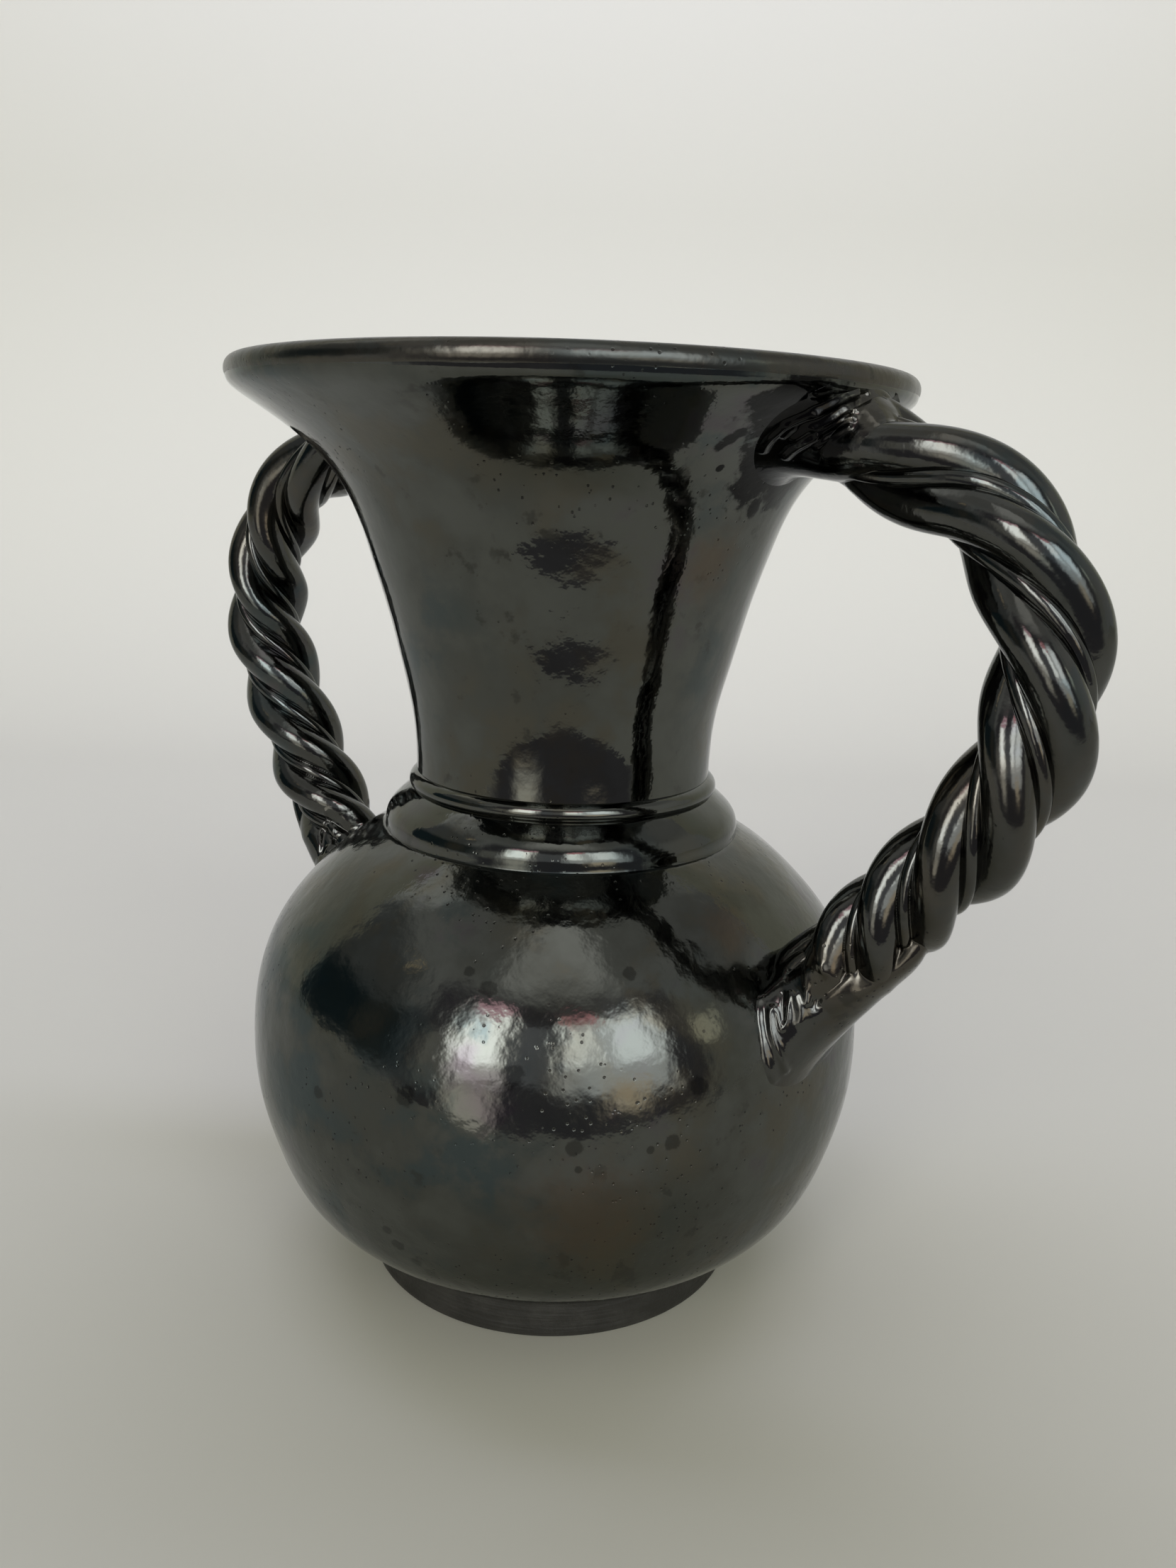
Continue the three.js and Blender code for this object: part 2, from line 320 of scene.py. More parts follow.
def makeFootGlaze(name, settings):
    material = bpy.data.materials.new(name)
    paint = Paint(material)
    place = paint.place()
    blotch = paint.noise(place, *settings["blotchNoise"])
    grain = paint.noise(place, *settings["grainNoise"])
    rings = paint.noise(paint.stretched(place, settings["ringStretch"]), *settings["ringNoise"])
    resting = paint.step(paint.parts(place)[2], *settings["restingHeight"])
    wear = paint.step(blotch, *settings["blotchCover"]) * settings["blotchWear"]
    wear = wear + resting * settings["restingWear"]
    colour = paint.mixed(wear, settings["clay"], settings["worn"])
    rise = grain * settings["grain"] + rings * settings["ring"]
    bump = paint.node("ShaderNodeBump", None, {"Strength": 1.0, "Distance": 1.0, "Height": rise})
    surface = paint.node("ShaderNodeBsdfPrincipled", None, {
        "Base Color": colour,
        "Metallic": settings["metallic"],
        "Roughness": settings["roughness"] + grain * settings["grainRoughness"],
        "Normal": bump,
    })
    paint.node("ShaderNodeOutputMaterial", None, {"Surface": surface})
    return material


# Spots on the body, the last four of them a scar low on its left. The joint's marks round the right handle's
# upper
# joint are painted dark reflection: large near-black patches that stand for the dark room the joint faces,
# and a few small dark spots.
bodyMarks = [
    (52.6, -56.7, 67.5, 1.9), (65.9, -40.6, 67.2, 1.9), (63.4, -44.6, 66, 1), (20.7, -73.8, 74.9, 2.4),
    (67.9, -34.3, 78.6, 2.2), (40.3, -63.1, 82, 2.6), (-3.5, -77.2, 68.3, 1.6), (30.5, -59.3, 97.2, 1.9),
    (25.3, -59.7, 99.6, 1.4), (51.5, -38.5, 100.2, 1.4), (53.3, -56.2, 62.7, 0.9), (12.8, -72.4, 39, 1.5),
    (14.6, -70.4, 35.2, 1.8), (17.6, -67.8, 31.1, 1.5), (20.3, -65.6, 28.2, 1.9),
]
bodyStains = [(54.5, -53.5, 50, 15), (58.7, -11.7, 105.2, 7)]
jointSpotAndShadePlaces = [
    (70.5, -19.5, 216, 10.5), (64.5, -10, 206.5, 10), (72, -8, 212, 8), (70.5, -25, 217, 7),
    (57.5, -7, 203, 8), (57, 4, 201.5, 7.5), (62.2, -24, 211.2, 1.9), (60.4, -24.5, 210, 2.1),
    (58.5, -24.9, 208.7, 1.7), (55.3, -19.9, 204.6, 1), (53.5, -2.5, 197.1, 2.7),
]
# Painted dark reflection: these near-black patches round the right upper joint stand in for the dark room
# mirrored there, with small dark spots
jointSpotsAndPaintedShade = {"marks": jointSpotAndShadePlaces, "markDepth": 1.0, "spotAndShadeColour": rgb(0.008, 0.008, 0.008)}
neckSheen = {"roughness": 0.055, "stains": [(47.2, -10.1, 184.5, 9)]}
ropeSheen = {
    "steel": rgb(0.088, 0.090, 0.085),
    "smoke": rgb(0.064, 0.063, 0.057),
    "bronze": rgb(0.092, 0.082, 0.066),
    "roughness": 0.10,
}
bodySheen = {"marks": bodyMarks, "stains": bodyStains, "pitCover": (0.45, 0.57)}
bodyGlaze = makeGlaze("bodyGlaze", {**glazeSettings, **bodySheen}, 1.35)
neckGlaze = makeGlaze("neckGlaze", {**glazeSettings, **neckSheen, **jointSpotsAndPaintedShade}, 0.8, 0.8)
ropeGlaze = makeGlaze("ropeGlaze", {**glazeSettings, **ropeSheen, **jointSpotsAndPaintedShade}, 1.5, 0.8)
lipGlaze = makeGlaze("lipGlaze", {**glazeSettings, **wornLip}, 2.0, 0.5)
footGlaze = makeFootGlaze("footGlaze", footGlazeSettings)
print("glazes mixed")


# Smooth curve through points: a natural cubic spline over the chord length, read at places from 0 to 1.
def smoothCurve(points, places):
    knots = np.asarray(points, float).reshape(len(points), -1)
    chord = np.r_[0, np.cumsum(np.linalg.norm(np.diff(knots, axis=0), axis=1))]
    return splineAt(chord, knots, np.asarray(places) * chord[-1])


# Natural cubic spline with values at given knots; second derivatives come from one linear system.
def splineAt(knots, values, places):
    values = np.asarray(values, float).reshape(len(knots), -1)
    step = np.diff(knots)
    count = len(knots)
    system = np.eye(count)
    inner = np.arange(1, count - 1)
    system[inner, inner - 1] = step[:-1]
    system[inner, inner] = 2 * (step[:-1] + step[1:])
    system[inner, inner + 1] = step[1:]
    right = np.zeros_like(values)
    right[1:-1] = 6 * np.diff(np.diff(values, axis=0) / step[:, None], axis=0)
    bend = np.linalg.solve(system, right)
    k = np.clip(np.searchsorted(knots, places, side="right") - 1, 0, count - 2)
    h = step[k][:, None]
    u = (places - knots[k])[:, None]
    v = h - u
    cubic = (bend[k] * v**3 + bend[k + 1] * u**3) / (6 * h)
    return cubic + (values[k] / h - bend[k] * h / 6) * v + (values[k + 1] / h - bend[k + 1] * h / 6) * u


# A sum of slow waves round a turned piece: each is cos(m * angle + n * height + phase), seeded. None is
# shorter than shortest along the height.
def throwingWaves(angle, height, seed, shortest):
    count = 14
    dice = np.random.default_rng(seed)
    total = np.zeros(np.broadcast(angle, height).shape)
    for _ in range(count):
        lobes = dice.integers(0, 5)
        pitch = dice.uniform(-1, 1) * 2 * math.pi / shortest
        total += math.cos(dice.uniform(0, 6)) * np.cos(lobes * angle + pitch * height + dice.uniform(0, 6.3))
    return total / math.sqrt(count)


# A closed mesh over a grid of points in millimetres, rows by columns. Columns close round. Rows close round
# too when ringed, and otherwise a fan closes the first and the last row. A mesh that comes out with a
# negative volume is turned to face outwards.
def gridMesh(name, grid, ringed=False):
    rows, columns = grid.shape[:2]
    places = grid.reshape(-1, 3) * mm
    i = np.arange(rows if ringed else rows - 1)[:, None]
    j = np.arange(columns)[None, :]
    nextRow = (i + 1) % rows
    nextColumn = (j + 1) % columns
    here, there = i * columns, nextRow * columns
    corners = np.broadcast_arrays(here + j, here + nextColumn, there + nextColumn, there + j)
    quads = np.stack(corners, -1).reshape(-1, 4)
    fans = np.zeros((0, 3), int)
    if not ringed:
        tips = np.array([grid[0].mean(0), grid[-1].mean(0)]) * mm
        around = np.arange(columns)
        follow = (around + 1) % columns
        last = (rows - 1) * columns
        first = np.stack([np.full(columns, len(places)), follow, around], -1)
        final = np.stack([np.full(columns, len(places) + 1), last + around, last + follow], -1)
        fans = np.concatenate([first, final])
        places = np.concatenate([places, tips])
    corner = places[quads]
    cross = np.cross(corner[:, 1] - corner[:, 0], corner[:, 2] - corner[:, 0])
    cross += np.cross(corner[:, 2] - corner[:, 0], corner[:, 3] - corner[:, 0])
    volume = (cross * corner.mean(1)).sum()
    if volume < 0:
        quads = quads[:, ::-1]
        fans = fans[:, ::-1]
    mesh = bpy.data.meshes.new(name)
    mesh.from_pydata(places.tolist(), [], quads.tolist() + fans.tolist())
    mesh.shade_smooth()
    mesh.update()
    return mesh


def addPiece(name, mesh, material, node):
    piece = bpy.data.objects.new(name, mesh)
    bpy.context.scene.collection.objects.link(piece)
    mesh.materials.append(material)
    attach(piece, "root")
    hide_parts(node)


# A profile of (radius, height) turned about the axis: the surface is (r + w) cos a, (r + w) sin a, z, where w
# is the unevenness of throwing. It is shrunk to stay inside the stated radius, and fades out within 20 mm of
# the axis. A piece with a level has the same waves at every height.
def turnedSurface(profile, settings):
    angle = np.linspace(0, 2 * math.pi, settings["segments"], endpoint=False)[None, :]
    radius = profile[:, 0][:, None] + 0 * angle
    height = profile[:, 1][:, None] + 0 * angle
    waves = throwingWaves(angle, settings.get("level", height), settings["seed"], settings["shortest"])
    wobble = settings["unevenness"] * (waves - settings["shrink"])
    radius = radius + wobble * np.clip(radius / 20, 0, 1)
    return np.stack([radius * np.cos(angle), radius * np.sin(angle), height], -1)


# Body: two splines joined by the flat seat of the neck and the throat.
bodySettings = {
    "segments": 288,
    "outside": [
        (46.6, 10.9), (49.9, 11.9), (55, 14.6), (59.5, 17.7), (67.7, 26), (73.5, 38.8), (76.9, 51.8),
        (77.6, 64.7), (76.4, 77.6), (71.9, 90.5), (61.9, 103.4), (53.6, 110.8), (45.1, 116.2),
    ],
    "inside": [
        (41, 17.2), (50, 19.6), (60, 26.5), (66.8, 38.5), (71, 52), (71.6, 64.7), (70.2, 78), (64.9, 90),
        (55.5, 101.3), (44, 108.6), (34.5, 111.4),
    ],
    "outsideRows": 150,
    "insideRows": 70,
    "tip": 1,  # radius of the small circles that close the base and the floor
    "base": 10.6,
    "baseRadius": 40,
    "floor": 17.2,
    "floorRadius": 20,
    "seat": 116.6,
    "seatRadius": 43,
    "throat": 31.8,
    "throatFoot": 112.5,
    "unevenness": 0.12,
    "shrink": 0.6,  # in parts of the unevenness
    "shortest": 25.0,
    "seed": 3,
}


def makeBody(settings):
    outside = smoothCurve(settings["outside"], np.linspace(0, 1, settings["outsideRows"]))
    inside = smoothCurve(settings["inside"], np.linspace(1, 0, settings["insideRows"]))
    base, floor, seat, throat, tip = (settings[k] for k in ("base", "floor", "seat", "throat", "tip"))
    profile = np.concatenate([
        [(tip, base), (settings["baseRadius"], base)],
        outside,
        [(settings["seatRadius"], seat), (throat, seat), (throat, settings["throatFoot"])],
        inside,
        [(settings["floorRadius"], floor), (tip, floor)],
    ])
    grid = turnedSurface(profile, settings)
    addPiece("roundBody", gridMesh("roundBody", grid), bodyGlaze, "round_body")


# Neck: an outside and an inside spline, closed over the foot of the neck and under the lip.
neckSettings = {
    "segments": 288,
    "outside": [
        (36.2, 116.9), (36.6, 124), (36.7, 131), (37.5, 144), (40.7, 158.4), (44.2, 171.8), (48.1, 184.2),
        (52.3, 195.3), (59.1, 205.1), (69.3, 213.3), (75.0, 217.0), (77.8, 218.9), (79.2, 220.4),
        (79.65, 222.2),
    ],
    "inside": [
        (31.6, 116.9), (31.9, 131), (32.8, 145), (36, 159.5), (39.5, 173), (43.4, 186.3), (48, 198),
        (55, 207.4), (63.6, 214.4), (70, 218.8), (74.2, 222.4), (75.4, 223.6),
    ],
    "outsideRows": 170,
    "insideRows": 110,
    "unevenness": 0.12,
    "shrink": 0.4,
    "shortest": 25.0,
    "seed": 8,
}


def makeNeck(settings):
    outside = smoothCurve(settings["outside"], np.linspace(0, 1, settings["outsideRows"]))
    inside = smoothCurve(settings["inside"], np.linspace(1, 0, settings["insideRows"]))
    profile = np.concatenate([outside, inside])
    grid = turnedSurface(profile, settings)
    addPiece("trumpetNeck", gridMesh("trumpetNeck", grid, True), neckGlaze, "trumpet_neck")


# Lip: a band with a rounded section, the superellipse |x|^p + |y|^p = 1 with the fullness as p.
lipSettings = {
    "segments": 288,
    "radius": 79.9,
    "top": 225.9,
    "height": 5.8,
    "width": 5.4,
    "fullness": 2.05,
    "around": 48,  # points round the section
    "unevenness": 0.10,
    "shrink": 1.4,
    "shortest": 25.0,
    "level": 1,
    "seed": 21,
    "drop": 1.6,  # lowers it to stay under the stated top, likewise
    "topSeed": 33,
}


# A closed rounded band: x = sign(cos) |cos|^(2/p), y likewise with sin, scaled to the half width and height.
def bandProfile(middle, height, halfWidth, halfHeight, fullness, count):
    turn = np.linspace(-math.pi, math.pi, count, endpoint=False)
    out = np.sign(np.cos(turn)) * np.abs(np.cos(turn)) ** (2 / fullness)
    up = np.sign(np.sin(turn)) * np.abs(np.sin(turn)) ** (2 / fullness)
    return np.stack([middle + halfWidth * out, height + halfHeight * up], -1)


def makeLip(settings):
    halfHeight = settings["height"] / 2
    halfWidth = settings["width"] / 2
    middle = settings["radius"] - halfWidth
    height = settings["top"] - halfHeight
    section = (settings["fullness"], settings["around"])
    profile = bandProfile(middle, height, halfWidth, halfHeight, *section)
    grid = turnedSurface(profile, settings)
    angle = np.arctan2(grid[..., 1], grid[..., 0])
    waves = throwingWaves(angle, 0, settings["topSeed"], settings["shortest"])
    grid[..., 2] += settings["unevenness"] * (waves - settings["drop"])
    addPiece("rimLip", gridMesh("rimLip", grid, True), lipGlaze, "rim_lip")


# Collar and bead: closed bands whose outer edge follows a spline and whose inner edge is inside the neck.
collarSettings = {
    "segments": 240,
    "collar": [
        (44.7, 115.8), (44.5, 116.5), (44.45, 117.4), (44.4, 118.6), (43.95, 120.2), (42.8, 122.0),
        (41.2, 123.6), (39.7, 124.9), (38.6, 125.8), (37.4, 126.6),
    ],
    "collarCore": [(34.5, 126.6), (34.5, 115.8)],
    "bead": [
        (37.2, 126.0), (38.1, 126.5), (38.55, 127.3), (38.6, 128.2), (38.2, 129.1), (37.5, 129.8),
        (36.8, 130.2), (36.2, 130.4),
    ],
    "beadCore": [(34.8, 130.4), (34.8, 125.9)],
    "rows": 44,
    "unevenness": 0.07,
    "shrink": 0.4,
    "shortest": 25.0,
    "seed": 12,
}


def makeCollarAndBead(settings):
    for name, node in (("collar", "neck_collar"), ("bead", "neck_bead")):
        outside = smoothCurve(settings[name], np.linspace(0, 1, settings["rows"]))
        profile = np.concatenate([outside, settings[name + "Core"]])
        grid = turnedSurface(profile, settings)
        title = "neck" + name.capitalize()
        addPiece(title, gridMesh(title, grid, True), neckGlaze, node)


# Foot ring: straight lines between the corners of its outline
footSettings = {
    "segments": 240,
    "outline": [
        (39.0, 0.0), (47.3, 0.0), (48.1, 0.5), (48.25, 1.4), (48.0, 5.0), (47.6, 9.2), (47.9, 10.6),
        (47.2, 11.3), (38.0, 11.3), (38.0, 1.2), (38.3, 0.3),
    ],
    "split": 5,  # pieces that each side is cut into
    "unevenness": 0.08,
    "shrink": 1.2,
    "shortest": 9.0,
    "seed": 5,
}


def makeFoot(settings):
    outline = np.array(settings["outline"])
    share = np.linspace(0, 1, settings["split"], endpoint=False)[:, None]
    dense = []
    for start, end in zip(outline, np.roll(outline, -1, axis=0)):
        dense.append(start + (end - start) * share)
    profile = np.concatenate(dense)
    grid = turnedSurface(profile, settings)
    addPiece("footRing", gridMesh("footRing", grid, True), footGlaze, "foot_ring")


makeBody(bodySettings)
makeNeck(neckSettings)
makeLip(lipSettings)
makeCollarAndBead(collarSettings)
makeFoot(footSettings)
print("turned pieces made")

# Handles. Each is bent by hand: the centreline as (reach, height), the rope's radius along it, and how far
# the rope has turned at even fractions of its length, in degrees.
handleSettings = {
    "right": {
        "facing": 0,
        "near": -1,
        "route": [
            (76.4, 210.4), (87, 206), (101.4, 199.9), (116.1, 182.1),
            (117.8, 155.4), (108.4, 134.5), (95.7, 118), (82.6, 101.4),
        ],
        "radii": [10.6, 11.9, 12.4, 12.3, 11.5],
        "turns": [-151, -47, 76, 214, 363, 558],
    },
    "left": {
        "facing": math.pi,
        "near": 1,
        "route": [
            (76.4, 209.6), (86.5, 204.6), (103.2, 195.8), (114.8, 179),
            (117.8, 156.1), (109.5, 134.3), (97.7, 114.3), (85.6, 97.9),
        ],
        "radii": [10.8, 12, 12.4, 12.5, 12.2],
        "turns": [-124, -20, 121, 279, 427, 594],
    },
}
ropeSettings = {
    "stations": 420,
    "around": 40,
    "coilOut": 0.495,  # centre of a coil, in parts of the rope's radius
    "coilRadius": 0.487,
    "cordOut": 0.56,
    "cordRadius": 0.18,
    "slack": 0.005,  # how much a coil's thickness wanders
    "wander": (9, 16),  # how often, in radians along the rope
    "seed": 40,
}


# Stations along a rope: centre, tangent, outward normal in the handle's plane, radius and turn.
def ropeStations(settings, count):
    places = np.linspace(0, 1, count)
    fine = smoothCurve(settings["route"], np.linspace(0, 1, 4000))
    length = np.r_[0, np.cumsum(np.linalg.norm(np.diff(fine, axis=0), axis=1))]
    even = np.stack([np.interp(places * length[-1], length, fine[:, k]) for k in range(2)], -1)
    slope = np.gradient(even, axis=0)
    slope /= np.linalg.norm(slope, axis=1)[:, None]
    flat = np.zeros(count)

    def eased(values):
        return splineAt(np.linspace(0, 1, len(values)), values, places)[:, 0]

    return {
        "length": length[-1],
        "centre": np.stack([even[:, 0], flat, even[:, 1]], -1),
        "tangent": np.stack([slope[:, 0], flat, slope[:, 1]], -1),
        "normal": np.stack([-slope[:, 1], flat, slope[:, 0]], -1),
        "radius": eased(settings["radii"]),
        "turn": np.radians(eased(settings["turns"])),
    }


# A strand of the rope: a circle of radius a whose centre winds at distance c from the centreline,
# centre + (c cos b + a cos t) normal + (c sin b + a sin t) across, where b is the strand's turn.
def strandSurface(rope, out, thickness, phase, around):
    ring = np.linspace(0, 2 * math.pi, around, endpoint=False)[None, :]
    turn = (rope["turn"] + phase)[:, None]
    along = out[:, None] * np.cos(turn) + thickness[:, None] * np.cos(ring)
    aside = out[:, None] * np.sin(turn) + thickness[:, None] * np.sin(ring)
    grid = rope["centre"][:, None, :] + along[..., None] * rope["normal"][:, None, :]
    grid[..., 1] += aside
    return grid


def facing(grid, angle):
    c, s = math.cos(angle), math.sin(angle)
    turned = grid.copy()
    turned[..., 0] = c * grid[..., 0] - s * grid[..., 1]
    turned[..., 1] = s * grid[..., 0] + c * grid[..., 1]
    return turned


def makeRope(side, settings, rope, shape):
    dice = np.random.default_rng(shape["seed"] + len(side))
    places = np.linspace(0, 1, shape["stations"])
    strands = (("coil", math.pi / 3, shape["around"]), ("cord", 0, shape["around"] // 2))
    for n in range(3):
        phase = 2 * math.pi / 3 * n
        waves = places * dice.uniform(*shape["wander"]) + dice.uniform(0, 6)
        wander = np.cos(waves) * shape["slack"]
        for strand, ahead, around in strands:
            out = rope["radius"] * shape[strand + "Out"]
            thick = rope["radius"] * (shape[strand + "Radius"] + wander)
            grid = strandSurface(rope, out, thick, phase + ahead, around)
            name = f"{side}{strand.capitalize()}{n + 1}"
            mesh = gridMesh(name, facing(grid, settings["facing"]))
            addPiece(name, mesh, ropeGlaze, f"{side}_handle_{strand}_{n + 1}")


# Luted joints: where the rope is smeared onto the wall. Angles go round the rope: 0 degrees is the side of
# its normal in the handle's plane, and -90 is the near side. The edge is how far the joint reaches out on the
# wall, and the smear is where the clay begins to fill the grooves, measured back from the rope's end, both in
# millimetres. Seams are the ridges that fingers left, and creases where the height is below 0: width, height
# and places on the right handle.
jointSettings = {
    "upper": {
        "overlap": 18.0,
        "edge": [
            (-162, 17), (-130, 17.5), (-98, 21), (-80, 23), (-60, 20), (-25, 12.5), (30, 12.5), (90, 16),
            (140, 18),
        ],
        "pad": [
            (-170, 0.1), (-135, 0.25), (-100, 0.32), (-60, 0.3), (-25, 0.2), (30, 0.1), (90, 0.2),
            (140, 0.15),
        ],
        "smear": [(-140, 6), (-90, 12), (-60, 14), (-35, 10), (20, 8), (90, 10), (180, 4)],
        "fade": 17.0,  # length over which the grooves fill up
        "drift": -0.4,  # how far the grooves turn on along the fillet, in radians
        "turnIn": 0.75,  # where the fillet begins, in parts of the way from the wall to the rope's end
        "seams": [
            (0.9, 0.85, [(73.0, -15.3, 216.5), (75.8, -12.1, 218.3), (77.8, -8.2, 219.7)]),
            (0.7, 0.5, [
                (77.6, -11.8, 221.4), (75.7, -16.3, 219.6), (74.6, -18.9, 218.9), (74.9, -20.6, 219.4),
                (75.5, -19.9, 219.9), (77.3, -15.5, 221.7),
            ]),
            (0.8, 0.75, [
                (71.8, -12.5, 213.8), (74.2, -11.3, 215.1), (76.4, -9.7, 216.5), (78.7, -8.7, 216.3),
            ]),
            (0.7, 0.7, [(72.1, -11.5, 212.5), (75.2, -10.6, 213.9), (78.4, -9.6, 215.0)]),
            (0.9, 0.8, [(64.9, -10.6, 208.4), (67.2, -11.4, 209.8), (71.7, -11.3, 211.7)]),
            (0.8, 0.7, [
                (61.6, -14.5, 209.0), (63.6, -16.0, 210.7), (66.1, -16.9, 212.6), (67.8, -17.3, 213.7),
            ]),
            (0.9, 0.5, [(66.6, -15.2, 212.2), (68.4, -15.7, 213.5)]),
            (1.1, 0.45, [(67.7, -13.3, 211.7), (70.7, -13.2, 213.5)]),
            (0.8, 0.6, [(68.6, -17.2, 214.2), (70.5, -16.5, 215.2), (73.0, -15.1, 216.5)]),
            (0.7, 0.4, [(71.6, -10.7, 209.7), (73.3, -10.8, 210.5), (78.1, -10.3, 213.3)]),
            (1.1, -0.7, [(78.4, -6.4, 219.4), (78.9, -5.8, 219.7)]),
        ],
    },
    "lower": {
        "overlap": 27.0,
        "edge": [
            (-164, 11.2), (-125, 12), (-105, 16), (-88, 17.3), (-60, 20), (-45, 18.3), (-23, 15.3),
            (0, 13.4), (46, 16.7), (66, 19), (110, 16), (150, 13),
        ],
        "pad": [
            (-170, 0.1), (-120, 0.3), (-85, 0.45), (-60, 0.45), (-25, 0.2), (30, 0.1), (90, 0.3), (140, 0.2),
        ],
        "smear": [
            (-160, -8), (-110, -6), (-76, -2), (-68, 3), (-55, 6), (-42, 10.2), (-31, 18), (0, 21), (40, 18),
            (90, 8), (140, -3),
        ],
        "fade": 15.0,
        "drift": 0.9,
        "turnIn": 0.65,
        "seams": [
            (0.9, 0.6, [(72.1, -13.3, 90.1), (73.8, -14.5, 84.5), (74.9, -14.0, 80.8), (75.5, -13.3, 77.9)]),
            (0.6, 0.35, [
                (73.0, -12.6, 90.4), (74.3, -13.0, 88.1), (75.0, -13.1, 86.6), (75.7, -12.5, 88.2),
                (75.8, -11.9, 90.3), (75.7, -11.1, 94.1),
            ]),
            (0.6, -0.3, [(74.1, -11.3, 93.2), (74.9, -12.6, 88.4)]),
            (0.9, 0.4, [(78.6, -10.7, 100.0), (79.2, -11.1, 95.5), (79.3, -11.0, 93.4)]),
            (1.0, 0.35, [(77.1, -11.3, 93.9), (78.1, -11.2, 91.7), (78.1, -11.5, 89.0)]),
            (0.8, 0.3, [(81.9, -11.0, 102.3), (82.8, -10.7, 100.1)]),
            (1.0, -0.6, [(82.7, -10.7, 99.7), (81.8, -10.6, 96.4), (81.3, -11.0, 93.1)]),
            (1.2, 0.5, [
                (68.9, -14.1, 92.3), (70.3, -15.9, 89.4), (71.7, -16.7, 85.7), (73.4, -17.0, 80.6),
                (74.7, -15.7, 75.7),
            ]),
        ],
    },
    "sleeveRows": 90,
    "filletRows": 80,
    "columns": 300,
    "sink": 0.5,  # how far the joint's edge goes into the wall
    "empty": 0.55,  # how full a groove is before the smear, in parts of the rope's radius
    "full": 0.99,  # and where it is smeared
    "soften": 0.06,
    "hidden": 0.13,  # how far the joint lies under the coils where it isn't smeared
    "raised": 0.6,  # how far it lies over them at the rope's end, in parts of that
    "hiddenFrom": 1,  # where it begins to sink, from the rope's end, and how long that takes
    "hiddenRun": 5,
    "farLift": 2.0,  # how much higher the seams lie on the far side
    "search": (-25.0, 45.0),  # stretch along a line on which the wall is looked for
    "halvings": 40,
}


# Where lines from points along a direction meet a turned wall: the stretch is halved again and again.
def ontoWall(points, direction, wall, sink):
    near, far = (np.full(points.shape[:-1], place) for place in jointSettings["search"])
    for _ in range(jointSettings["halvings"]):
        middle = (near + far) / 2
        spot = points + middle[..., None] * direction
        inner = np.interp(spot[..., 2], wall[:, 1], wall[:, 0]) - sink
        outside = np.hypot(spot[..., 0], spot[..., 1]) > inner
        near = np.where(outside, middle, near)
        far = np.where(outside, far, middle)
    return points + near[..., None] * direction


# The rope's outline at an angle from a groove: the largest of the coils' circles and the cords' circles,
# each seen from the centreline as c cos d + sqrt(a^2 - c^2 sin^2 d), in parts of the rope's radius.
def ropeOutline(angle, shape):
    reach = np.zeros_like(angle)
    for start, strand in ((0.5, "coil"), (0, "cord")):
        out, radius = shape[strand + "Out"], shape[strand + "Radius"]
        for n in range(3):
            away = angle - 2 * math.pi / 3 * (n + start)
            inside = radius**2 - (out * np.sin(away)) ** 2
            far = out * np.cos(away) + np.sqrt(np.maximum(inside, 0))
            reach = np.maximum(reach, np.where((inside > 0) & (np.cos(away) > 0), far, 0))
    return reach


def smoothStep(value):
    share = np.clip(value, 0, 1)
    return share * share * (3 - 2 * share)


# Height of the seams at each point of a surface. A seam is a smooth line through its places, moved onto the
# surface by a cubic of its length, and its height is height * exp(-(d / width)^2), where d is the distance to
# the line.
def seamRise(grid, seams):
    places = grid.reshape(-1, 3)
    rise = np.zeros(len(places))
    for width, height, through in seams:
        share = np.linspace(-1, 1, 60)
        line = smoothCurve(through, (share + 1) / 2)
        near = np.where(((places > line.min(0) - 4) & (places < line.max(0) + 4)).all(1))[0]
        if len(near):
            away = np.linalg.norm(places[near][:, None] - line[None], axis=-1)
            offset = places[near][away.argmin(0)] - line
            powers = share[:, None] ** np.arange(4)
            drawn = line + powers @ np.linalg.lstsq(powers, offset, rcond=None)[0]
            away = np.linalg.norm(places[near][:, None] - drawn[None], axis=-1).min(1)
            rise[near] += height * np.exp(-((away / width) ** 2))
    return rise.reshape(grid.shape[:2])


# Directions square to a grid that closes round by columns, turned away from a line through its middle.
def gridNormals(grid, centre, direction):
    down = np.gradient(grid, axis=0)
    across = np.roll(grid, -1, axis=1) - np.roll(grid, 1, axis=1)
    square = np.cross(down, across)
    square /= np.linalg.norm(square, axis=-1)[..., None] + 1e-9
    away = grid - centre
    away = away - (away @ direction)[..., None] * direction
    return square * np.sign((square * away).sum(-1).sum())


# The rope at a place between two stations.
def ropeAt(rope, place):
    k = int(min(max(place, 0), len(rope["turn"]) - 2))
    share = place - k
    keys = ("centre", "normal", "radius", "turn")
    return [(1 - share) * rope[key][k] + share * rope[key][k + 1] for key in keys]


# Values round the rope: a cubic spline through (degrees, value) that is the same after a whole turn.
def roundRope(points, angle):
    degrees, values = np.array(points, float).T
    knots = np.r_[degrees - 360, degrees, degrees + 360]
    return splineAt(knots, np.tile(values, 3), np.degrees(angle))[:, 0]


